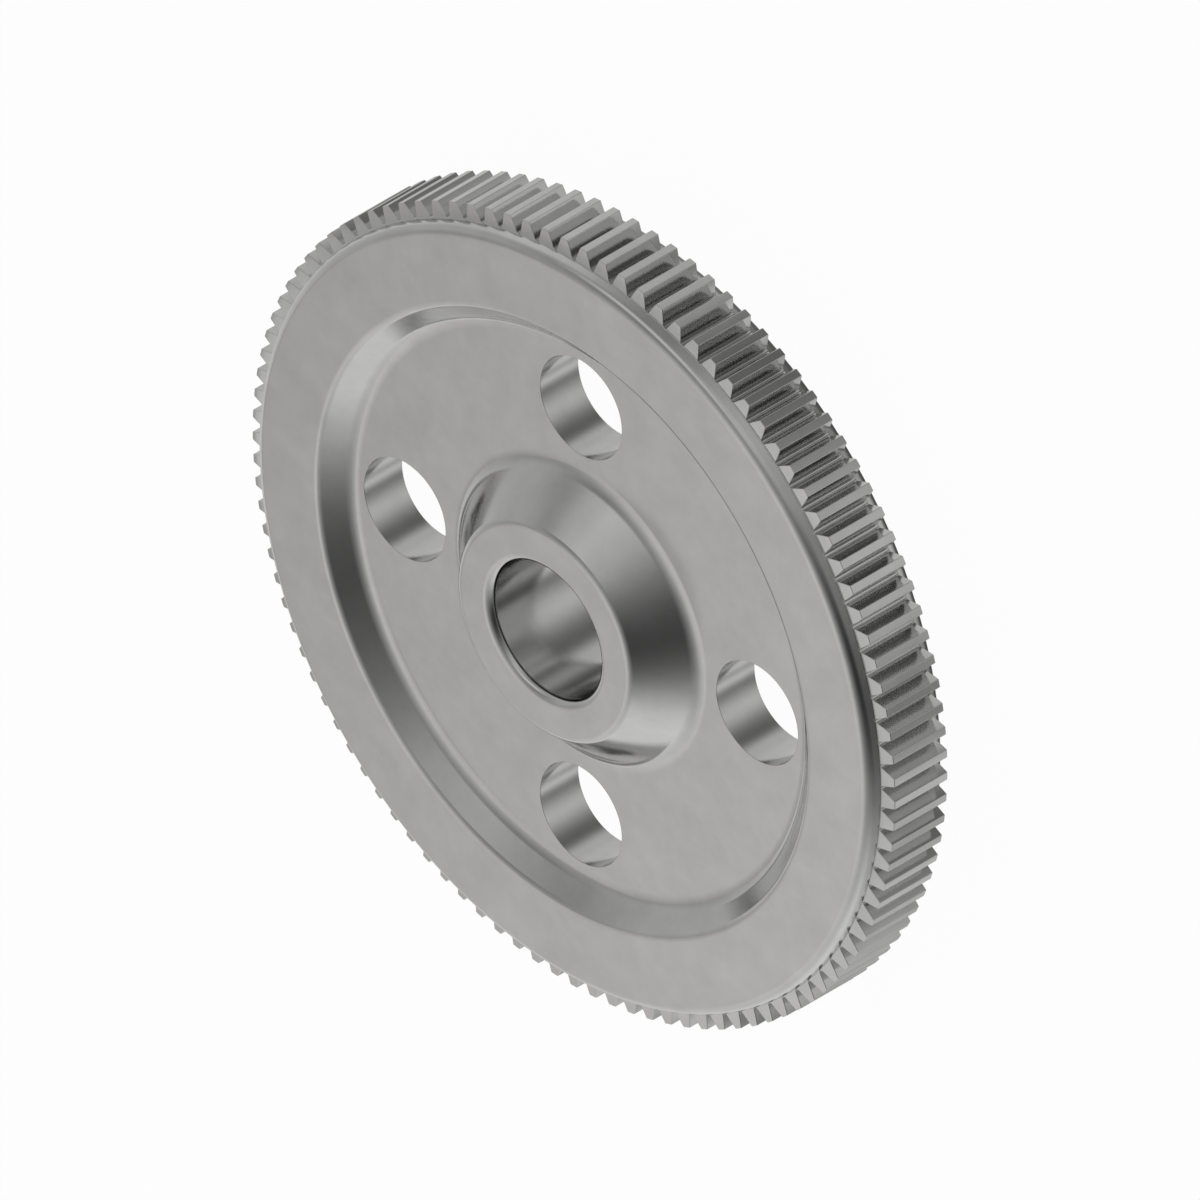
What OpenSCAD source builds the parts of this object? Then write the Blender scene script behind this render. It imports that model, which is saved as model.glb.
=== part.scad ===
// Spur gear wheel turned and cut from one piece of steel.
// A toothed rim and a longer hub with a plain bore stand out from a thinner web,
// which four round holes lighten. Both faces of the wheel are alike.
// The wheel lies flat, with its axis along Z and its origin on that axis at mid-width.

/* [Teeth] */
// Module, the pitch diameter for each tooth
gear_module = 2.5; // [2.3:0.05:3]
// Number of teeth
teeth = 105; // [100:1:130]
// Pressure angle of the involute flanks
pressure_angle = 20; // [18:0.5:22]
// Depth of a tooth gap below the pitch circle, in modules
dedendum = 1.25; // [1.1:0.05:1.35]
// Share of the pitch circle that the teeth fill, where half is usual
tooth_share = 0.585; // [0.48:0.005:0.6]
// Radius of the fillets at the foot of each flank, as far as the gap has room
root_fillet = 0.7; // [0.3:0.1:0.8]
// Radius that breaks the edges of each tooth tip
tip_round = 0.25; // [0.1:0.05:0.4]
// Length of the teeth along the axis
tooth_w = 22; // [14:0.2:26]
// Bevel where the tooth ends meet the plain band
tooth_foot = 0.7; // [0.3:0.1:1.5]

/* [Rim] */
// Plain band between the foot of the tooth ends and the rounding of the rim
band_w = 0.5; // [0.2:0.1:4]
// Radial thickness of the rim at its faces
rim_wall = 26; // [20:0.5:32]
// Step from the tooth roots down to the plain band beside them
band_step = 0.1; // [0.05:0.05:0.5]
// Rounding from each rim face onto the plain band
rim_outer_round = 3.6; // [1:0.1:4]
// Rounding from each rim face into the recess
rim_inner_round = 3.5; // [1:0.5:5]
// Fillet from the inner wall of the rim onto the web
rim_foot_fillet = 6.5; // [2:0.5:8]
// Slope of the inner wall of the rim, measured from the axis
rim_slope = 45; // [35:1:50]

/* [Web] */
// Thickness of the web
web_t = 16; // [10:0.2:20]
// Number of lightening holes
holes = 4; // [3:1:5]
// Flat land between a lightening hole and the fillet at the rim
rim_land = 1.3; // [0.5:0.1:6]
// Flat land between a lightening hole and the fillet at the hub
hub_land = 3.6; // [0.5:0.1:8]

/* [Hub] */
// Length of the hub along the axis
hub_l = 47; // [42:0.5:60]
// Diameter of the bore
bore_d = 45; // [30:0.5:50]
// Wall between the bore and the edge of the hub face
hub_wall = 13; // [10:0.5:16]
// Rounding of the bore mouths
bore_round = 3; // [1:0.5:4]
// Rounding of the edge of the hub face
hub_round = 3.3; // [1:0.1:4]
// Fillet from the hub onto the web
hub_foot_fillet = 7; // [2:0.5:8]
// Slope of the flank of the hub, measured from the axis
hub_slope = 42.5; // [35:0.5:50]

/* [Hidden] */

// Fineness of drawn circles and of computed arcs, in degrees
$fa = 3;
$fs = 0.5;
section_arc_step = 9;
tooth_arc_step = 45;
flank_steps = 3;

// Circles of the tooth ring
pitch_r = gear_module * teeth / 2;
tip_r = pitch_r + gear_module;
root_r = pitch_r - dedendum * gear_module;
base_r = pitch_r * cos(pressure_angle);
tooth_pitch = 360 / teeth;

// Corners of the section before rounding
band_r = root_r - band_step;
band_z = tooth_w / 2 + tooth_foot;
rim_w = 2 * (band_z + band_w + rim_outer_round);
rim_in_r = root_r - rim_wall;
rim_foot_r = rim_in_r - (rim_w - web_t) / 2 * tan(rim_slope);
hub_r = bore_d / 2 + hub_wall;
hub_foot_r = hub_r + (hub_l - web_t) / 2 * tan(hub_slope);

// How far a fillet runs out over the web from the corner that it fills
function fillet_reach(radius, slope) = radius * tan((90 - slope) / 2);

// The lightening holes fill the flat of the web but for their two lands
hole_out_r = rim_foot_r - fillet_reach(rim_foot_fillet, rim_slope) - rim_land;
hole_in_r = hub_foot_r + fillet_reach(hub_foot_fillet, hub_slope) + hub_land;
hole_d = hole_out_r - hole_in_r;
hole_circle_r = (hole_out_r + hole_in_r) / 2;

// How far the blank stands out past the tooth tips, and a cut past what it cuts
cut_past = 1;
blank_r = tip_r + cut_past;

// Largest share of the floor of a tooth gap that its fillets take
floor_use = 0.95;

function unit(v) = v / norm(v);
function direction(v) = atan2(v.y, v.x);
function polar(r, angle) = r * [cos(angle), sin(angle)];

// The signed turn from one direction to another, the short way round
function short_turn(from, to) =
    let (turn = to - from)
    turn > 180 ? turn - 360 : turn < -180 ? turn + 360 : turn;

// The arc that rounds one corner between its neighbours
function corner_arc(before, corner, after, radius, arc_step) =
    let (
        back = unit(before - corner),
        ahead = unit(after - corner),
        half = acos(back * ahead) / 2,
        centre = corner + unit(back + ahead) * radius / sin(half),
        reach = radius / tan(half),
        start = direction(corner + back * reach - centre),
        turn = short_turn(start, direction(corner + ahead * reach - centre)),
        steps = max(1, ceil(abs(turn) / arc_step))
    )
    [for (i = [0:steps]) centre + polar(radius, start + turn * i / steps)];

// A closed outline from corners given as [x, y, radius], where radius 0 keeps a corner sharp
function rounded(corners, arc_step) =
    let (
        count = len(corners),
        points = [for (c = corners) [c.x, c.y]]
    )
    [
        for (i = [0:count - 1])
            each corners[i].z > 0
                ? corner_arc(points[(i + count - 1) % count], points[i],
                             points[(i + 1) % count], corners[i].z, arc_step)
                : [points[i]]
    ];

// Angle from where an involute leaves its base circle to where it reaches radius r
function involute_angle(r) =
    let (roll = sqrt(pow(r / base_r, 2) - 1))
    roll * 180 / PI - atan(roll);

// Half the angle that a tooth fills at radius r
function half_tooth(r) =
    tooth_pitch * tooth_share / 2 + involute_angle(pitch_r) - involute_angle(r);

// The two fillets of a gap leave some of its floor between them
half_floor = (tooth_pitch / 2 - half_tooth(root_r)) * PI / 180 * root_r;
foot_lean = acos(base_r / root_r);
foot_round = min(root_fillet, floor_use * half_floor * tan((90 + foot_lean) / 2));

// One tooth around direction middle, from its root corner round its tip to the next
function tooth(middle) =
    let (
        radii = [for (i = [0:flank_steps]) root_r + (tip_r - root_r) * i / flank_steps],
        break = [for (i = [0:flank_steps])
            i == 0 ? foot_round : i == flank_steps ? tip_round : 0]
    )
    [
        for (i = [0:flank_steps])
            let (p = polar(radii[i], middle - half_tooth(radii[i])))
            [p.x, p.y, break[i]],
        for (i = [flank_steps:-1:0])
            let (p = polar(radii[i], middle + half_tooth(radii[i])))
            [p.x, p.y, break[i]]
    ];

// Outline of all the teeth, with a tooth centred on -Y
module tooth_outline() {
    corners = [for (k = [0:teeth - 1]) each tooth(k * tooth_pitch - 90)];
    polygon(rounded(corners, tooth_arc_step));
}

// Section of the turned blank
module blank_section() {
    front = [
        [bore_d / 2, hub_l / 2, bore_round],
        [hub_r, hub_l / 2, hub_round],
        [hub_foot_r, web_t / 2, hub_foot_fillet],
        [rim_foot_r, web_t / 2, rim_foot_fillet],
        [rim_in_r, rim_w / 2, rim_inner_round],
        [band_r, rim_w / 2, rim_outer_round],
        [band_r, band_z, 0],
        [band_r + tooth_foot, tooth_w / 2, 0],
        [blank_r, tooth_w / 2, 0]
    ];
    back = [for (i = [len(front) - 1:-1:0]) [front[i].x, -front[i].y, front[i].z]];
    polygon(rounded(concat(front, back), section_arc_step));
}

module lightening_holes() {
    for (k = [0:holes - 1])
        rotate(k * 360 / holes)
            translate([hole_circle_r, 0, 0])
                cylinder(d = hole_d, h = web_t + 2 * cut_past, center = true);
}

// Everything outside the outline of the teeth
module tooth_gaps() {
    linear_extrude(height = rim_w, center = true)
        difference() {
            circle(r = blank_r + cut_past);
            tooth_outline();
        }
}

module gear_wheel() {
    color("silver")
        difference() {
            rotate_extrude() blank_section();
            lightening_holes();
            tooth_gaps();
        }
}

gear_wheel();
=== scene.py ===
"""Spur gear wheel of satin steel: a smooth finished mesh, its metal, and a plain white studio."""
import math

import bpy
import numpy as np
from mathutils import Matrix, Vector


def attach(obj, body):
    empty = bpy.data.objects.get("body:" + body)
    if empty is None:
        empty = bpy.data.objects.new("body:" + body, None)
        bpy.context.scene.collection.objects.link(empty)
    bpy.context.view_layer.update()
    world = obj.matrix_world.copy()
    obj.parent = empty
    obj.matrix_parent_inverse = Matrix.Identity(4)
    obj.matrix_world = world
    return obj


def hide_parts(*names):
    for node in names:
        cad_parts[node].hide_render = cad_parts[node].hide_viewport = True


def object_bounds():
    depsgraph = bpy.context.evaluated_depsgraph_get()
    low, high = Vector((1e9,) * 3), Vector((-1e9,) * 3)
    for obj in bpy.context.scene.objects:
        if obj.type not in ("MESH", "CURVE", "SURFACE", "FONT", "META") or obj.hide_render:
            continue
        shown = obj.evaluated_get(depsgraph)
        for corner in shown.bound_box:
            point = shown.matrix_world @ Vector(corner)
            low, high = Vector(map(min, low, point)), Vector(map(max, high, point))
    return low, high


bl_info = {
    "name": "Spur Gear Wheel",
    "version": (1, 0, 0),
    "blender": (4, 5, 0),
    "location": "3D View > Sidebar > Gear Wheel",
    "description": "Builds a one-piece steel spur gear wheel and the studio that shows it",
    "category": "Add Mesh",
}

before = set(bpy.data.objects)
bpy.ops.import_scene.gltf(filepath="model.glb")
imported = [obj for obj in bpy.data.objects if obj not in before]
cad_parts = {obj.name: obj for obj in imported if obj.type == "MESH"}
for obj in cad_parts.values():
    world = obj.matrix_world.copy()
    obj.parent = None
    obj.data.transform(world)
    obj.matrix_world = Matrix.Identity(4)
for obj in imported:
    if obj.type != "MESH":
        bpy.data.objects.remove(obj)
cad_low, cad_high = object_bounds()

MM = 0.001


def length(name, description, default):
    """A length property, in metres."""
    return bpy.props.FloatProperty(
        name=name, description=description, default=default, min=0.0,
        unit="LENGTH", subtype="DISTANCE", precision=5,
    )


def angle(name, description, degrees):
    """An angle property, whose default is given in degrees."""
    return bpy.props.FloatProperty(
        name=name, description=description, default=math.radians(degrees),
        unit="ROTATION", subtype="ANGLE",
    )


def share(name, description, default, top=1.0):
    """A plain number from zero up to a soft limit."""
    return bpy.props.FloatProperty(
        name=name, description=description, default=default, min=0.0, soft_max=top,
    )


def grey(name, description, value):
    """A colour property that starts as a neutral or nearly neutral grey."""
    return bpy.props.FloatVectorProperty(
        name=name, description=description, default=value, size=3,
        min=0.0, max=1.0, subtype="COLOR",
    )


class ToothSizes(bpy.types.PropertyGroup):
    """Sizes of the tooth ring."""

    module: length("Module", "Pitch diameter for each tooth", 2.5 * MM)
    teeth: bpy.props.IntProperty(
        name="Teeth", description="Number of teeth", default=105, min=20)
    pressure_angle: angle("Pressure Angle", "Pressure angle of the involute flanks", 20)
    dedendum: share("Dedendum", "Depth of a gap below the pitch circle, in modules", 1.25, 2.0)
    thickness: share("Tooth Share", "Share of the pitch circle that the teeth fill", 0.585)
    root_fillet: length("Root Fillet", "Radius at the foot of each flank, if the gap has room",
                        0.7 * MM)
    tip_round: length("Tip Rounding", "Radius along the edges of each tooth tip", 0.25 * MM)
    end_round: length("End Rounding", "Radius around the ends of each tooth", 0.22 * MM)
    width: length("Tooth Length", "Length of a tooth along the axis", 22 * MM)
    end_fillet: length("End Fillet", "From the tooth ends onto the plain band", 0.3 * MM)
    band_step: length("Band Step", "Step from the tooth roots down to the plain band", 0.1 * MM)


class BodySizes(bpy.types.PropertyGroup):
    """Sizes of the rim, web and hub."""

    band_w: length("Plain Band", "Band between tooth ends and rim rounding", 0.9 * MM)
    rim_wall: length("Rim Wall", "Radial thickness of the rim at its faces", 26 * MM)
    rim_outer_round: length("Rim Outer Rounding", "From the rim face to the band", 3.6 * MM)
    rim_inner_round: length("Rim Inner Rounding", "From the rim face to the recess", 3.5 * MM)
    rim_foot_fillet: length("Rim Fillet", "From the recess wall to the web", 6.5 * MM)
    web_t: length("Web Thickness", "Thickness of the web", 16 * MM)
    rim_slope: angle("Rim Slope", "Slope of the rim's inner wall from the axis", 45)
    holes: bpy.props.IntProperty(
        name="Holes", description="Number of lightening holes", default=4, min=2, max=8)
    rim_land: length("Land at Rim", "Flat web between a hole and the rim fillet", 1.3 * MM)
    hub_land: length("Land at Hub", "Flat web between a hole and the hub fillet", 3.6 * MM)
    hole_round: length("Hole Edge", "Rounding of the edges of the holes", 0.15 * MM)
    hub_l: length("Hub Length", "Length of the hub along the axis", 47 * MM)
    bore_d: length("Bore", "Diameter of the bore", 45 * MM)
    hub_wall: length("Hub Wall", "Wall between bore and hub edge at the hub face", 13 * MM)
    hub_slope: angle("Hub Slope", "Slope of the hub's flank from the axis", 42.5)
    bore_round: length("Bore Rounding", "Rounding of the bore mouths", 3.0 * MM)
    hub_round: length("Hub Rounding", "Rounding of the edge of the hub face", 3.3 * MM)
    hub_foot_fillet: length("Hub Fillet", "From the hub to the web", 7.0 * MM)


class SteelLook(bpy.types.PropertyGroup):
    """Colours and grain of the steel."""

    pale: grey("Pale Steel", "Colour of the brighter patches", (0.648, 0.648, 0.64))
    dull: grey("Dull Steel", "Colour of the duller patches", (0.485, 0.485, 0.478))
    roughness: share("Roughness", "Mean roughness of the satin surface", 0.12)
    grain: length("Grain", "Size of the fine grain of the surface", 0.28 * MM)
    patch: length("Patch", "Size of the cloudy patches", 14 * MM)


class StudioLook(bpy.types.PropertyGroup):
    """Floor, light and camera."""

    floor: grey("Floor", "Colour of the floor", (0.9, 0.9, 0.9))
    floor_size: length("Floor Size", "Half the side of the floor", 6.0)
    floor_glow: share("Floor Glow", "Share of plain white in what the camera sees", 0.97)
    mirrored_glow: share("Mirrored Glow", "Share of plain white in what the steel mirrors", 0.05)
    frame_width: length("Frame Width", "Width of the camera's frame", 0.3533)
    fill: share("Light", "Strength of all the soft boxes", 1.0, 2.0)
    card_left: share("Card at Left", "Strength of the card at its left edge", 0.48, 2.0)
    card_right: share("Card at Right", "Strength of the card at its right edge", 0.84, 2.0)


# Meshes

# Steps of the curves of one tooth, and of the roundings at its ends and at the holes
TIP_STEPS = 3
FLANK_STEPS = 6
ROOT_STEPS = 5
EDGE_STEPS = 2
END_STEPS = 3

# Steps that a full circle would take in the section of rim and hub, and the fewest in one arc
STEPS_PER_TURN = 44
LEAST_ARC_STEPS = 3

# Columns of the body for each lightening hole, and rows across the web
COLUMNS_PER_HOLE = 100
WEB_ROWS = 16

# Largest share of the floor of a tooth gap that its two fillets take
FLOOR_USE = 0.95

# The rounding of the tooth ends is this small at the roots, and whole this far above them
LEAST_EDGE = 0.03 * MM
EDGE_GROWTH = 1.0 * MM

# How far shading normals lean out at the tips and feet of the tooth ends and at the plain band,
# so that these mirror the room and not the nearest edge
TIP_CROWN = math.radians(8)
FOOT_CROWN = math.radians(18)
RIM_LEAN = math.radians(20)

# Signs that mirror a section, or a point in space, to the back of the wheel
SECTION_TO_BACK = np.array([1, -1])
TO_BACK = np.array([1, 1, -1])

# Corners of a square with sides of length 1
SQUARE = np.array([[-1, -1], [1, -1], [1, 1], [-1, 1]]) / 2


class Skin:
    """Gathers points and faces as whole arrays, with a normal for each corner of each face."""

    def __init__(self):
        self.points = []
        self.count = 0
        self.faces = {3: [], 4: []}
        self.normals = {3: [], 4: []}

    def add(self, points):
        """Adds an array of points and returns their numbers in the same layout."""
        layout = points.shape[:-1]
        numbers = self.count + np.arange(math.prod(layout)).reshape(layout)
        self.points.append(points.reshape(-1, 3))
        self.count += numbers.size
        return numbers

    def put(self, faces, normals):
        """Adds faces as rows of point numbers, with a normal for each of their corners."""
        corners = faces.shape[-1]
        self.faces[corners].append(faces.reshape(-1, corners))
        self.normals[corners].append(normals.reshape(-1, corners, 3))

    def grid(self, numbers, normals, closed):
        """Quads between neighbouring rows and columns.

        Closed joins the last column to the first.
        """
        if closed:
            numbers = np.concatenate([numbers, numbers[:, :1]], 1)
            normals = np.concatenate([normals, normals[:, :1]], 1)
        corners = [(slice(None, -1), slice(None, -1)), (slice(None, -1), slice(1, None)),
                   (slice(1, None), slice(1, None)), (slice(1, None), slice(None, -1))]
        self.put(np.stack([numbers[c] for c in corners], -1),
                 np.stack([normals[c] for c in corners], -2))

    def zip_rings(self, low, low_turn, low_normals, high, high_turn, high_normals):
        """Triangles between two rings with unlike counts, by the order of their angles.

        Each ring starts at its least angle. The angles at which either ring moves on are
        sorted, and each move adds the triangle between that edge and the other ring's point.
        """
        full = 2 * np.pi
        moves = np.concatenate([np.append(low_turn[1:], low_turn[0] + full),
                                np.append(high_turn[1:], high_turn[0] + full)])
        is_low = np.argsort(moves, kind="stable") < len(low)
        at_low = np.cumsum(is_low) - is_low
        at_high = np.cumsum(~is_low) - ~is_low
        a, a_next = at_low % len(low), (at_low + 1) % len(low)
        b, b_next = at_high % len(high), (at_high + 1) % len(high)
        up, down = is_low, ~is_low
        self.put(np.stack([low[a[up]], low[a_next[up]], high[b[up]]], -1),
                 np.stack([low_normals[a[up]], low_normals[a_next[up]], high_normals[b[up]]], -2))
        self.put(np.stack([low[a[down]], high[b_next[down]], high[b[down]]], -1),
                 np.stack([low_normals[a[down]], high_normals[b_next[down]],
                           high_normals[b[down]]], -2))

    def make(self, name, material):
        """Makes the object, smooth shaded with the gathered normals, and links it to the scene."""
        mesh = bpy.data.meshes.new(name)
        sides = [n for n in (3, 4) if self.faces[n]]
        faces = [np.concatenate(self.faces[n]) for n in sides]
        normals = np.concatenate([np.concatenate(self.normals[n]).reshape(-1, 3) for n in sides])
        counts = np.concatenate([np.full(len(f), f.shape[1]) for f in faces])
        mesh.vertices.add(self.count)
        mesh.vertices.foreach_set("co", np.concatenate(self.points).astype(np.float32).ravel())
        mesh.loops.add(int(counts.sum()))
        mesh.loops.foreach_set("vertex_index", np.concatenate([f.ravel() for f in faces]))
        mesh.polygons.add(len(counts))
        mesh.polygons.foreach_set("loop_start", np.cumsum(counts) - counts)
        mesh.update(calc_edges=True)
        mesh.validate()
        mesh.polygons.foreach_set("use_smooth", np.ones(len(counts), bool))
        normals /= np.linalg.norm(normals, axis=1, keepdims=True)
        mesh.normals_split_custom_set(normals)
        mesh.materials.append(material)
        piece = bpy.data.objects.new(name, mesh)
        bpy.context.scene.collection.objects.link(piece)
        return piece


def left_of(v):
    """Vectors in the plane turned a quarter turn to the left."""
    return np.stack([-v[..., 1], v[..., 0]], -1)


def at(radius, turn):
    """Points in the plane at a radius and a direction."""
    return np.stack(np.broadcast_arrays(radius * np.cos(turn), radius * np.sin(turn)), -1)


def lift(points, height):
    """Points of the plane lifted to a height, which may differ from point to point."""
    return np.concatenate([points, np.broadcast_to(height, points.shape[:-1])[..., None]], -1)


def round_corner(corner, ahead, after, radius, steps):
    """Points and outward normals of the arc that rounds a corner.

    ahead and after are the directions of travel into and out of the corner, and outward is to
    the right of travel. The arc touches both at radius * tan(half the turn) from the corner.
    """
    turn = math.atan2(ahead[0] * after[1] - ahead[1] * after[0], ahead @ after)
    side = math.copysign(1.0, turn)
    centre = corner - ahead * radius * math.tan(abs(turn) / 2) + side * radius * left_of(ahead)
    heading = math.atan2(ahead[1], ahead[0]) + turn * np.linspace(0, 1, steps + 1)
    travel = at(1.0, heading)
    return centre - side * radius * left_of(travel), -left_of(travel)


def unit(v):
    """The vector at length 1."""
    return v / np.linalg.norm(v)


def rounded_path(corners, steps_per_turn):
    """Points and outward normals of a path through corners given as (x, y, radius).

    The first and last corner only give the direction. The others become arcs.
    """
    place = np.array([c[:2] for c in corners])
    travel = [unit(b - a) for a, b in zip(place[:-1], place[1:])]
    arcs = []
    for i in range(1, len(corners) - 1):
        bend = math.acos(np.clip(travel[i - 1] @ travel[i], -1, 1))
        steps = max(LEAST_ARC_STEPS, math.ceil(steps_per_turn * bend / (2 * math.pi)))
        arcs.append(round_corner(place[i], travel[i - 1], travel[i], corners[i][2], steps))
    return np.concatenate([a[0] for a in arcs]), np.concatenate([a[1] for a in arcs])


def revolve(points, normals, turns):
    """A grid of points and their normals, for a section (x, y) turned about the axis.

    At the turn t, the point of the section is at (x cos t, x sin t, y).
    """
    def carried(v):
        """The vectors of the section, taken round to every turn."""
        c, s = np.cos(turns), np.sin(turns)
        return np.stack([v[:, :1] * c, v[:, :1] * s, np.repeat(v[:, 1:], len(turns), 1)], -1)

    return carried(points), carried(normals)


class Gear:
    """Every circle and height of the wheel, worked out from the sizes."""

    def __init__(self, tooth, body):
        self.tooth = tooth
        self.body = body
        self.pitch_r = tooth.module * tooth.teeth / 2
        self.tip_r = self.pitch_r + tooth.module
        self.root_r = self.pitch_r - tooth.dedendum * tooth.module
        self.base_r = self.pitch_r * math.cos(tooth.pressure_angle)
        self.band_r = self.root_r - tooth.band_step
        self.band_z = tooth.width / 2 + tooth.end_fillet
        self.rim_z = self.band_z + body.band_w + body.rim_outer_round
        self.web_z = body.web_t / 2
        self.hub_z = body.hub_l / 2

        def reach(slope):
            """How far a fillet of radius 1 runs out onto the web."""
            return math.tan((math.pi / 2 - slope) / 2)

        self.rim_in_r = self.root_r - body.rim_wall
        self.rim_foot_r = self.rim_in_r - (self.rim_z - self.web_z) * math.tan(body.rim_slope)
        self.hub_r = body.bore_d / 2 + body.hub_wall
        self.hub_foot_r = self.hub_r + (self.hub_z - self.web_z) * math.tan(body.hub_slope)
        self.web_out_r = self.rim_foot_r - body.rim_foot_fillet * reach(body.rim_slope)
        self.web_in_r = self.hub_foot_r + body.hub_foot_fillet * reach(body.hub_slope)
        hole_out = self.web_out_r - body.rim_land
        hole_in = self.web_in_r + body.hub_land
        self.hole_r = (hole_out - hole_in) / 2
        self.hole_circle_r = (hole_out + hole_in) / 2

    def end_turn(self, r):
        """Angle of the tooth end at radius r, from 0 on the plain band to a right angle."""
        return np.arccos(1 - np.clip((r - self.band_r) / self.tooth.end_fillet, 0, 1))

    def end_place(self, turn):
        """Radius and height on the fillet between the plain band and the tooth ends."""
        fillet = self.tooth.end_fillet
        return (self.band_r + fillet * (1 - np.cos(turn)),
                self.tooth.width / 2 + fillet * (1 - np.sin(turn)))

    def half_tooth(self, r):
        """Half the angle that a tooth fills at radius r.

        On the pitch circle it is the tooth's share of half a pitch, and further out it is less
        by what the involute turns on the way.
        """
        def involute(radius):
            """tan a - a, with a the pressure angle at this radius."""
            pressed = np.arccos(self.base_r / radius)
            return np.tan(pressed) - pressed

        return (np.pi / self.tooth.teeth * self.tooth.thickness
                + involute(self.pitch_r) - involute(r))

    def flank(self, r):
        """Points and outward normals of the flank on the left of a tooth that stands on +X."""
        turn = self.half_tooth(r)
        pressed = np.arccos(self.base_r / r)
        return at(r, turn), at(1.0, turn + np.pi / 2 - pressed)

    def outline(self):
        """Points and outward normals of all the teeth, counter-clockwise from the least angle.

        Half a tooth runs from the middle of its tip round the tip edge, down the involute and
        round the root fillet to the middle of the gap. The other half is its mirror image.
        """
        tooth = self.tooth

        def corner(r, into_flank, radius, steps):
            """The arc between the circle of radius r and the flank, in or out of the flank."""
            place, normal = self.flank(r)
            down = left_of(normal)
            along = at(1.0, self.half_tooth(r) + np.pi / 2)
            pair = (along, down) if into_flank else (down, along)
            return round_corner(place, *pair, radius, steps)

        tip = corner(self.tip_r, True, tooth.tip_round, TIP_STEPS)
        half_floor = (math.pi / tooth.teeth - self.half_tooth(self.root_r)) * self.root_r
        lean = math.acos(self.base_r / self.root_r)
        room = FLOOR_USE * half_floor * math.tan((math.pi / 2 + lean) / 2)
        foot = corner(self.root_r, False, min(tooth.root_fillet, room), ROOT_STEPS)
        flank = self.flank(np.linspace(np.hypot(*tip[0][-1]), np.hypot(*foot[0][0]),
                                       FLANK_STEPS + 1)[1:-1])
        half = [np.concatenate(part) for part in zip(tip, flank, foot)]
        gap = math.pi / tooth.teeth
        top = at(self.tip_r, 0.0), at(1.0, 0.0)
        floor = at(self.root_r, gap), at(1.0, gap)
        mirror = np.array([1, -1])
        one = [np.concatenate([part[::-1] * mirror, [above], part, [below]])
               for part, above, below in zip(half, top, floor)]
        turns = 2 * gap * np.arange(tooth.teeth) - math.pi / 2
        c, s = np.cos(turns), np.sin(turns)
        spin = np.stack([np.stack([c, s], -1), np.stack([-s, c], -1)], -2)
        points, normals = [np.einsum("pi,kij->kpj", v, spin).reshape(-1, 2) for v in one]
        first = np.argmin(np.arctan2(points[:, 1], points[:, 0]) % (2 * np.pi))
        return np.roll(points, -first, 0), np.roll(normals, -first, 0)


def tooth_ring(skin, gear):
    """The teeth as rows around the wheel, from the band at the back to the band at the front.

    Round each end, a row is the outline moved inwards by e * (1 - cos t), at a height of
    e * (1 - sin t) below the end, with e the rounding and t from 0 to a quarter turn. The
    rounding grows with the radius, by the smooth step 3 u^2 - 2 u^3. Then the rows go down the
    fillet to the band, those that start on it by smaller steps.
    Returns the numbers of the first and last row, which lie on the band, and their angles.
    """
    points, normals = gear.outline()
    turns = np.arctan2(points[:, 1], points[:, 0]) % (2 * np.pi)

    def facing(r, end_turn):
        """Normals of the end faces, which lean out as if crowned, and of their fillet."""
        height = (r - gear.band_r) / (gear.tip_r - gear.band_r)
        crown = FOOT_CROWN + (TIP_CROWN - FOOT_CROWN) * height
        leaned = np.minimum(end_turn, np.pi / 2 - crown)
        return lift(at(np.cos(leaned), turns), np.sin(leaned))

    rise = np.clip((np.hypot(*points.T) - gear.root_r) / EDGE_GROWTH, 0, 1)
    edge = LEAST_EDGE + (gear.tooth.end_round - LEAST_EDGE) * rise * rise * (3 - 2 * rise)
    t = np.linspace(0, np.pi / 2, EDGE_STEPS + 1)[:, None]
    ring = points - normals * (edge * (1 - np.cos(t)))[..., None]
    ring_r = np.hypot(ring[..., 0], ring[..., 1])
    ring_turn = gear.end_turn(ring_r)
    height = gear.end_place(ring_turn)[1] - edge * (1 - np.sin(t))
    lean = (np.cos(t)[..., None] * lift(normals, 0.0)
            + np.sin(t)[..., None] * facing(ring_r, ring_turn))
    left = np.arange(END_STEPS, -1, -1)[:, None]
    start = ring_turn[-1]
    down = np.where(start < np.pi / 2, start * left / (END_STEPS + 1), start * left / END_STEPS)
    foot_r, foot_z = gear.end_place(down)
    front = np.concatenate([lift(ring, height), lift(at(foot_r, turns), foot_z)])
    front_normals = np.concatenate([lean, facing(foot_r, down)])
    numbers = skin.add(np.concatenate([front[::-1] * TO_BACK, front]))
    skin.grid(numbers, np.concatenate([front_normals[::-1] * TO_BACK, front_normals]),
              closed=True)
    return numbers[0], numbers[-1], turns


def hole_sheet(gear, centre, to):
    """Points and normals of one sheet through a hole, from the front edge to the back one.

    In the direction `to` from the centre, with e the rounding of the edge and t from 0 to a
    quarter turn, the sheet is at the radius R + e * (1 - sin t) and e * (1 - cos t) below the
    flat, where R is the radius of the hole. The back half is its mirror image.
    """
    t = np.linspace(0, np.pi / 2, EDGE_STEPS + 1)[:, None]
    edge = gear.body.hole_round
    front = lift(centre + at(gear.hole_r + edge * (1 - np.sin(t)), to),
                 gear.web_z - edge * (1 - np.cos(t)))
    normals = lift(at(-np.sin(t), to), np.cos(t))
    return (np.concatenate([front, front[::-1] * TO_BACK]),
            np.concatenate([normals, normals[::-1] * TO_BACK]))


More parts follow.
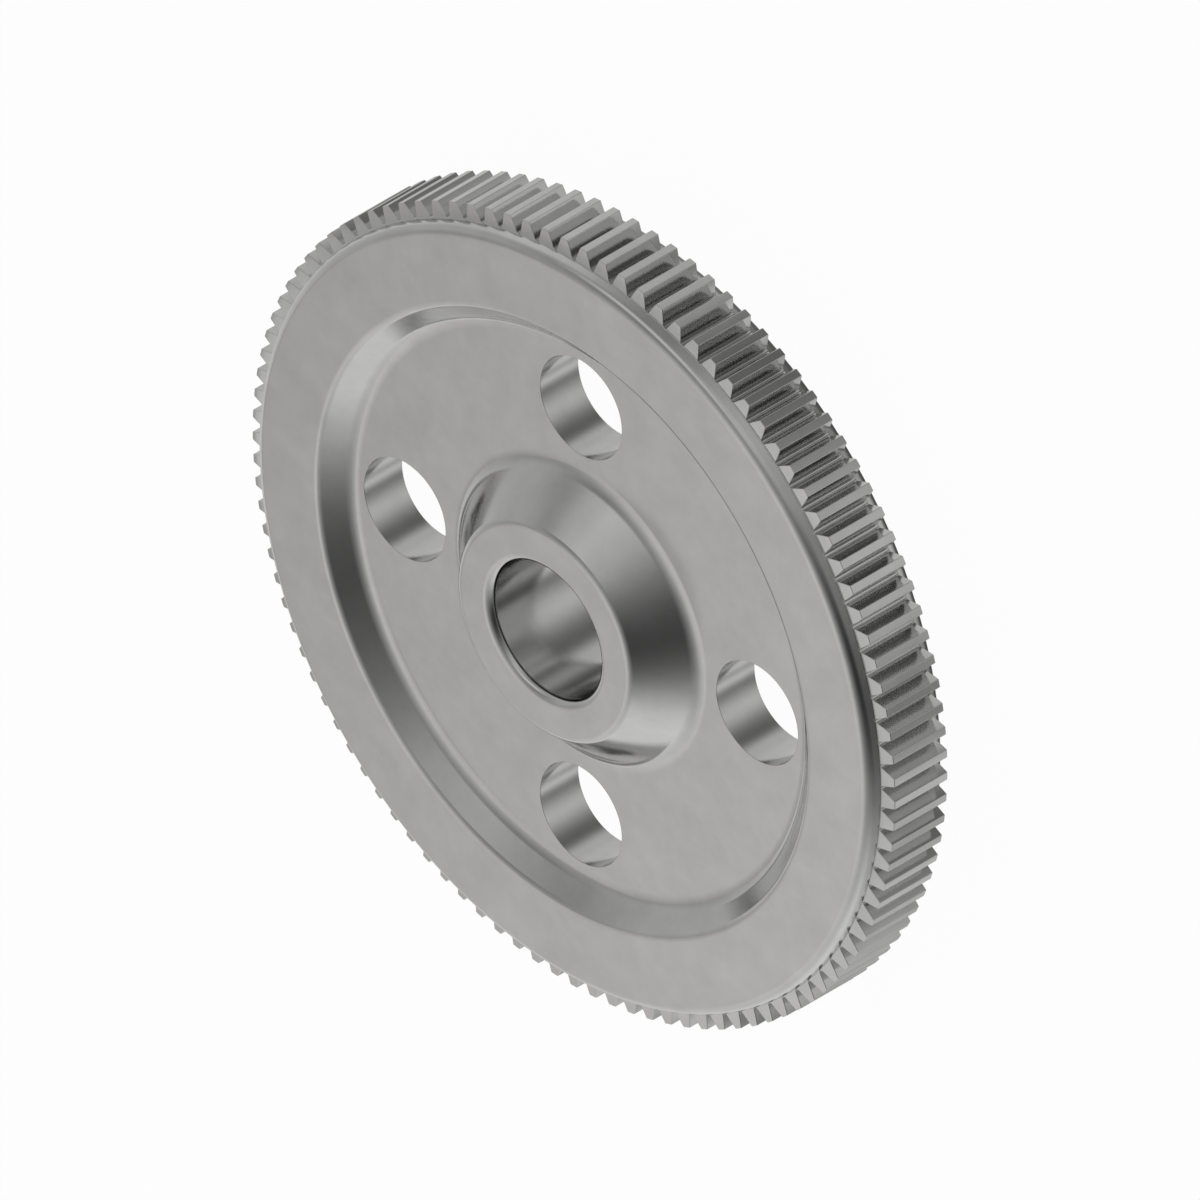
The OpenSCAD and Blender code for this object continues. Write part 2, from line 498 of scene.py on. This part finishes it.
def lightened_web(skin, gear, rings, turns):
    """The two flats of the web and the holes through them.

    rings holds the outer and inner ring of the flat at the front, and then at the back. Between
    the holes each flat is a polar grid. Around a hole, straight lines run from the border of
    the rest to the points of the hole's circle in the same direction from its centre, and one
    sheet goes on from there through the hole and out over the other flat.
    """
    holes = gear.body.holes
    across = COLUMNS_PER_HOLE // 2
    inwards = np.linspace(0, 1, WEB_ROWS + 1)[1:-1, None]
    radius = gear.web_out_r + (gear.web_in_r - gear.web_out_r) * inwards
    starts = np.arange(holes) * COLUMNS_PER_HOLE
    plain = (starts[:, None] + across // 2 + np.arange(across + 1)).ravel()
    polar = []
    for sign, (outer, inner) in zip((1, -1), rings):
        rows = np.full((WEB_ROWS + 1, len(turns)), -1)
        rows[0], rows[-1] = outer, inner
        rows[1:-1, plain] = skin.add(lift(at(radius, turns[plain]), sign * gear.web_z))
        polar.append(rows)
    for hole in range(holes):
        columns = starts[hole] + across // 2 + np.arange(across + 1)
        for sign, rows in zip((1, -1), polar):
            patch = rows[::sign, columns]
            skin.grid(patch, np.broadcast_to([0, 0, sign], patch.shape + (3,)), closed=False)
        arc = (starts[hole] + np.arange(-(across // 2), across // 2 + 1)) % len(turns)
        loop = [np.concatenate([rows[0, arc], rows[1:-1, arc[-1]], rows[-1, arc[::-1]],
                                rows[-2:0:-1, arc[0]]]) for rows in polar]
        border = np.concatenate([at(gear.web_out_r, turns[arc]), at(radius[:, 0], turns[arc[-1]]),
                                 at(gear.web_in_r, turns[arc[::-1]]),
                                 at(radius[::-1, 0], turns[arc[0]])])
        centre = at(gear.hole_circle_r, 2 * math.pi * hole / holes)
        to = np.arctan2(*(border - centre).T[::-1])
        points, normals = hole_sheet(gear, centre, to)
        numbers = skin.add(points)
        up = np.broadcast_to([0, 0, 1], (1, len(to), 3))
        skin.grid(np.concatenate([loop[0][None], numbers, loop[1][None]]),
                  np.concatenate([up, normals, -up]), closed=True)


def wheel_skin(gear):
    """The whole closed surface of the wheel.

    Rim and hub are sections of straight lines and arcs, turned about the axis. They join the
    tooth ring on the plain band and the web at the ends of its fillets. At the front, shading
    normals that stand less than RIM_LEAN out of the radial direction are leaned out to it.
    """
    body = gear.body
    skin = Skin()
    columns = body.holes * COLUMNS_PER_HOLE
    turns = 2 * np.pi * np.arange(columns) / columns
    rim = rounded_path([
        (gear.band_r, gear.band_z, 0),
        (gear.band_r, gear.rim_z, body.rim_outer_round),
        (gear.rim_in_r, gear.rim_z, body.rim_inner_round),
        (gear.rim_foot_r, gear.web_z, body.rim_foot_fillet),
        (gear.web_in_r, gear.web_z, 0),
    ], STEPS_PER_TURN)
    hub = rounded_path([
        (gear.web_out_r, gear.web_z, 0),
        (gear.hub_foot_r, gear.web_z, body.hub_foot_fillet),
        (gear.hub_r, gear.hub_z, body.hub_round),
        (body.bore_d / 2, gear.hub_z, body.bore_round),
        (body.bore_d / 2, 0, 0),
    ], STEPS_PER_TURN)
    rim_points, rim_normals = rim
    tilt = np.maximum(np.arctan2(rim_normals[:, 1], rim_normals[:, 0]), RIM_LEAN)
    sections = [
        (rim_points, at(1.0, tilt)),
        [np.concatenate([part, part[::-1] * SECTION_TO_BACK]) for part in hub],
        [part[::-1] * SECTION_TO_BACK for part in rim],
    ]
    numbers = []
    for section in sections:
        points, normals = revolve(*section, turns)
        numbers.append(skin.add(points))
        skin.grid(numbers[-1], normals, closed=True)
    front_rim, hub_rows, back_rim = numbers
    lightened_web(skin, gear, [(front_rim[-1], hub_rows[0]), (back_rim[0], hub_rows[-1])], turns)
    back_base, front_base, tooth_turns = tooth_ring(skin, gear)
    for lean, low, low_turns, high, high_turns in (
            (RIM_LEAN, front_base, tooth_turns, front_rim[0], turns),
            (0.0, back_rim[-1], turns, back_base, tooth_turns)):
        leaned = [lift(at(math.cos(lean), t), math.sin(lean)) for t in (low_turns, high_turns)]
        skin.zip_rings(low, low_turns, leaned[0], high, high_turns, leaned[1])
    return skin


# Materials


class Wire:
    """One socket of a node tree, on which plain arithmetic adds Math nodes."""

    def __init__(self, tree, socket):
        self.tree = tree
        self.socket = socket

    def maths(self, operation, *values):
        """A Math node on these values."""
        return self.tree.node("ShaderNodeMath", {"operation": operation}, *values)

    def __add__(self, other):
        return self.maths("ADD", self, other)

    def __sub__(self, other):
        return self.maths("SUBTRACT", self, other)

    def __rsub__(self, other):
        return self.maths("SUBTRACT", other, self)

    def __mul__(self, other):
        return self.maths("MULTIPLY", self, other)

    __radd__ = __add__
    __rmul__ = __mul__

    def exp(self):
        """e to the power of this value."""
        return self.maths("EXPONENT", self)


class Tree:
    """The node tree of a material or world, emptied."""

    def __init__(self, owner):
        owner.use_nodes = True
        self.tree = owner.node_tree
        self.tree.nodes.clear()

    def node(self, kind, settings=None, *values, output=0, **named):
        """Adds a node: its settings first, then its sockets by order or by name.

        A value is a number, a colour, a vector or a Wire. Returns the output that is asked for.
        """
        node = self.tree.nodes.new(kind)
        for name, value in (settings or {}).items():
            setattr(node, name, value)
        given = list(enumerate(values)) + [(n.replace("_", " "), v) for n, v in named.items()]
        for key, value in given:
            if isinstance(value, Wire):
                self.tree.links.new(value.socket, node.inputs[key])
            else:
                node.inputs[key].default_value = value
        return Wire(self, node.outputs[output]) if node.outputs else None


# The cloudy patches and the sandy grain: the layers of each noise, how strong its finer layers
# are, and how far it takes the roughness from its mean
CLOUD_LAYERS = 5.0
CLOUD_FINENESS = 0.65
CLOUD_ROUGHENS = 0.12
GRAIN_LAYERS = 1.0
GRAIN_FINENESS = 0.5
GRAIN_ROUGHENS = 0.08

# The relief of the grain, and the share of it that shows
GRAIN_DEPTH = 0.2 * MM
GRAIN_RELIEF = 0.07

# Mean value of a noise
MEAN_NOISE = 0.5


def steel_material(look):
    """Satin steel: cloudy patches of two near greys, and a fine sandy grain in slight relief.

    The roughness is its mean plus a share of what each noise departs from its own mean.
    """
    material = bpy.data.materials.new("satin_steel")
    tree = Tree(material)
    place = tree.node("ShaderNodeTexCoord", output="Object")
    cloud = tree.node("ShaderNodeTexNoise", None, Vector=place, Scale=1 / look.patch,
                      Detail=CLOUD_LAYERS, Roughness=CLOUD_FINENESS)
    grain = tree.node("ShaderNodeTexNoise", None, Vector=place, Scale=1 / look.grain,
                      Detail=GRAIN_LAYERS, Roughness=GRAIN_FINENESS)
    colour = tree.node("ShaderNodeMix", {"data_type": "RGBA"}, cloud, output=2,
                       A=(*look.dull, 1), B=(*look.pale, 1))
    normal = tree.node("ShaderNodeBump", None, Strength=GRAIN_RELIEF, Distance=GRAIN_DEPTH,
                       Height=grain)
    rough = (look.roughness + (cloud - MEAN_NOISE) * CLOUD_ROUGHENS
             + (grain - MEAN_NOISE) * GRAIN_ROUGHENS)
    steel = tree.node("ShaderNodeBsdfPrincipled", None, Base_Color=colour, Metallic=1.0,
                      Roughness=rough, Normal=normal)
    tree.node("ShaderNodeOutputMaterial", None, Surface=steel)
    return material


# Plain white, for the floor, the room behind the camera's rays and clear surfaces
WHITE = (1.0, 1.0, 1.0, 1.0)


def floor_material(look):
    """A pale matt floor, which the camera and glass see as mostly plain white.

    Mirrors see a share of that white, and otherwise the light that stands below the floor.
    """
    material = bpy.data.materials.new("studio_floor")
    tree = Tree(material)
    ray = {kind: tree.node("ShaderNodeLightPath", output=f"Is {kind} Ray")
           for kind in ("Camera", "Transmission", "Glossy", "Shadow")}
    matt = tree.node("ShaderNodeBsdfDiffuse", None, Color=(*look.floor, 1))
    white = tree.node("ShaderNodeEmission", None, Color=WHITE, Strength=1.0)
    clear = tree.node("ShaderNodeBsdfTransparent", None, Color=WHITE)
    seen = tree.node("ShaderNodeMixShader", None,
                     (ray["Camera"] + ray["Transmission"]) * look.floor_glow, matt, white)
    mirrored = tree.node("ShaderNodeMixShader", None, look.mirrored_glow, clear, white)
    mixed = tree.node("ShaderNodeMixShader", None, ray["Glossy"] + ray["Shadow"], seen, mirrored)
    tree.node("ShaderNodeOutputMaterial", None, Surface=mixed)
    return material


# Soft boxes of the room: where each stands, with +Y as north, the way to it, its spread in
# degrees, and its strength. The ways and strengths come from a least-squares fit to how bright
# the steel is in the photograph, and a few were then changed.
SOFTBOXES = [
    ("north-east, level", (0.38, 0.92, 0.11), 20, 0.34),
    ("north-west, level", (-0.62, 0.78, -0.07), 20, 0.40),
    ("north-east, high", (0.44, 0.75, 0.50), 20, 0.38),
    ("north-west, below", (-0.61, 0.62, -0.49), 20, 0.49),
    ("east, below", (0.84, 0.38, -0.37), 20, 0.45),
    ("east, deep below", (0.71, 0.12, -0.69), 20, 0.36),
    ("west, high", (-0.80, 0.25, 0.54), 20, 0.39),
    ("west, level", (-1.00, 0.08, 0.03), 20, 0.21),
    ("west, below", (-0.85, -0.08, -0.51), 20, 0.56),
    ("overhead", (-0.06, 0.15, 0.99), 20, 0.35),
    ("overhead, east", (0.28, -0.12, 0.95), 20, 0.10),
    ("overhead, south-west", (-0.28, -0.28, 0.92), 14, 0.40),
    ("south-west, level", (-0.78, -0.62, 0.12), 20, 0.61),
    ("south-west, high", (-0.33, -0.72, 0.61), 20, 0.51),
    ("south, high", (0.24, -0.82, 0.53), 20, 0.26),
    ("south, level", (0.39, -0.92, 0.09), 20, 0.63),
    ("south, below", (-0.18, -0.95, -0.26), 20, 0.69),
    ("north strip, middle", (-0.07, 0.77, 0.64), 9, 0.47),
    ("north strip, east end", (0.23, 0.67, 0.71), 9, 0.21),
    ("north strip, west end", (-0.35, 0.80, 0.50), 9, 0.50),
    ("narrow, north below", (-0.21, 0.79, -0.58), 8, 0.27),
    ("narrow, south below", (0.21, -0.79, -0.58), 8, 0.39),
    ("narrow, south-east below", (0.58, -0.58, -0.58), 8, 0.62),
]

# The card, a little warmer than the rest of the light
CARD_DISTANCE = 0.8
CARD_WIDTH = 0.56
CARD_HEIGHT = 0.80
CARD_TINT = np.array([1.0, 0.975, 0.965])


def card_material(look, along):
    """A glow that changes evenly from the left edge of the card to the right one."""
    material = bpy.data.materials.new("studio_card")
    tree = Tree(material)
    place = tree.node("ShaderNodeTexCoord", output="Object")
    across = tree.node("ShaderNodeVectorMath", {"operation": "DOT_PRODUCT"}, place, along,
                       output="Value")
    colour = tree.node("ShaderNodeMix", {"data_type": "RGBA"}, across * (1 / CARD_WIDTH) + 0.5,
                       output=2, A=(*CARD_TINT * look.card_left, 1),
                       B=(*CARD_TINT * look.card_right, 1))
    glow = tree.node("ShaderNodeEmission", None, Color=colour, Strength=1.0)
    tree.node("ShaderNodeOutputMaterial", None, Surface=glow)
    return material


def studio_world(look):
    """A dark room with soft boxes all round, which the camera sees as plain white.

    The light from a direction is the sum of what each box gives there.
    """
    world = bpy.data.worlds.new("studio")
    bpy.context.scene.world = world
    tree = Tree(world)
    way = tree.node("ShaderNodeTexCoord", output="Generated")

    def softbox(direction, spread, strength):
        """strength * exp(k * (cos a - 1)), with a the angle from the middle of the box.

        k is one over the square of the spread.
        """
        near = tree.node("ShaderNodeVectorMath", {"operation": "DOT_PRODUCT"},
                         way, unit(np.array(direction)), output="Value")
        return ((near - 1.0) * (1 / math.radians(spread) ** 2)).exp() * strength

    light = sum(softbox(*values) for _, *values in SOFTBOXES)
    ray = tree.node("ShaderNodeLightPath", output="Is Camera Ray")
    room = tree.node("ShaderNodeBackground", None, Color=WHITE, Strength=light * look.fill)
    white = tree.node("ShaderNodeBackground", None, Color=WHITE, Strength=1.0)
    mixed = tree.node("ShaderNodeMixShader", None, ray, room, white)
    tree.node("ShaderNodeOutputWorld", None, Surface=mixed)


# Operators

# The way the camera looks, how far it stands off, and the depth that it sees
VIEW = np.array([-1.0, -1.0, -1.0])
CAMERA_DISTANCE = 1.0
CLIP_NEAR = 0.01
CLIP_FAR = 10.0


def stage_square(name, corners, material):
    """A flat piece of the stage, with four corners."""
    mesh = bpy.data.meshes.new(name)
    mesh.from_pydata(corners.tolist(), [], [(0, 1, 2, 3)])
    mesh.materials.append(material)
    piece = bpy.data.objects.new(name, mesh)
    bpy.context.scene.collection.objects.link(piece)
    return piece


class GEAR_OT_wheel(bpy.types.Operator):
    """Build the gear wheel as one smooth closed mesh of satin steel"""

    bl_idname = "gear.wheel"
    bl_label = "Gear Wheel"
    bl_options = {"REGISTER", "UNDO"}

    def execute(self, context):
        scene = context.scene
        gear = Gear(scene.gear_teeth, scene.gear_body)
        wheel = wheel_skin(gear).make("wheel", steel_material(scene.gear_steel))
        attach(wheel, "root")
        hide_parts("gear_wheel")
        return {"FINISHED"}


class GEAR_OT_studio(bpy.types.Operator):
    """Build the pale floor, the soft light and the camera"""

    bl_idname = "gear.studio"
    bl_label = "Studio"
    bl_options = {"REGISTER", "UNDO"}

    def execute(self, context):
        scene = context.scene
        look = scene.gear_studio
        self.floor(look)
        self.card(look)
        studio_world(look)
        self.camera(scene, look)
        scene.view_settings.view_transform = "Standard"
        return {"FINISHED"}

    def floor(self, look):
        """A level square under the lowest point of the wheel."""
        corners = lift(SQUARE * 2 * look.floor_size, cad_low.z)
        floor = stage_square("floor", corners, floor_material(look))

    def card(self, look):
        """A glowing card that faces the wheel, where the flats mirror it into the camera.

        It stands in the way of the view mirrored in a level face, and its width runs as near
        to +X as it can.
        """
        to = unit(VIEW * TO_BACK)
        along = unit(np.array([1, 0, 0]) - to * to[0])
        up = np.cross(to, along)
        corners = to * CARD_DISTANCE + SQUARE * (CARD_WIDTH, CARD_HEIGHT) @ np.stack([along, up])
        card = stage_square("card", corners, card_material(look, along))
        card.visible_camera = False

    def camera(self, scene, look):
        """A parallel view along VIEW, with the wheel's +Y up in the picture."""
        data = bpy.data.cameras.new("camera")
        data.type = "ORTHO"
        data.ortho_scale = look.frame_width
        data.clip_start = CLIP_NEAR
        data.clip_end = CLIP_FAR
        camera = bpy.data.objects.new("camera", data)
        scene.collection.objects.link(camera)
        back = -unit(VIEW)
        up = unit(np.array([0, 1, 0]) - back * back[1])
        right = np.cross(up, back)
        axes = np.eye(4)
        axes[:3] = np.stack([right, up, back, back * CAMERA_DISTANCE], 1)
        camera.matrix_world = Matrix(axes.tolist())
        scene.camera = camera


class GEAR_PT_panel(bpy.types.Panel):
    """Sizes, colours and the two builders"""

    bl_idname = "GEAR_PT_panel"
    bl_label = "Gear Wheel"
    bl_space_type = "VIEW_3D"
    bl_region_type = "UI"
    bl_category = "Gear Wheel"

    def draw(self, context):
        for name, (title, group) in GROUPS.items():
            box = self.layout.box()
            box.label(text=title)
            for key in group.__annotations__:
                box.prop(getattr(context.scene, name), key)
        self.layout.operator(GEAR_OT_wheel.bl_idname)
        self.layout.operator(GEAR_OT_studio.bl_idname)


GROUPS = {
    "gear_teeth": ("Teeth", ToothSizes),
    "gear_body": ("Rim, Web and Hub", BodySizes),
    "gear_steel": ("Steel", SteelLook),
    "gear_studio": ("Studio", StudioLook),
}
CLASSES = (ToothSizes, BodySizes, SteelLook, StudioLook,
           GEAR_OT_wheel, GEAR_OT_studio, GEAR_PT_panel)


def register():
    for cls in CLASSES:
        bpy.utils.register_class(cls)
    for name, (_, group) in GROUPS.items():
        setattr(bpy.types.Scene, name, bpy.props.PointerProperty(type=group))


def unregister():
    for name in GROUPS:
        delattr(bpy.types.Scene, name)
    for cls in reversed(CLASSES):
        bpy.utils.unregister_class(cls)


def main():
    register()
    bpy.ops.gear.wheel()
    bpy.ops.gear.studio()


if __name__ == "__main__":
    main()
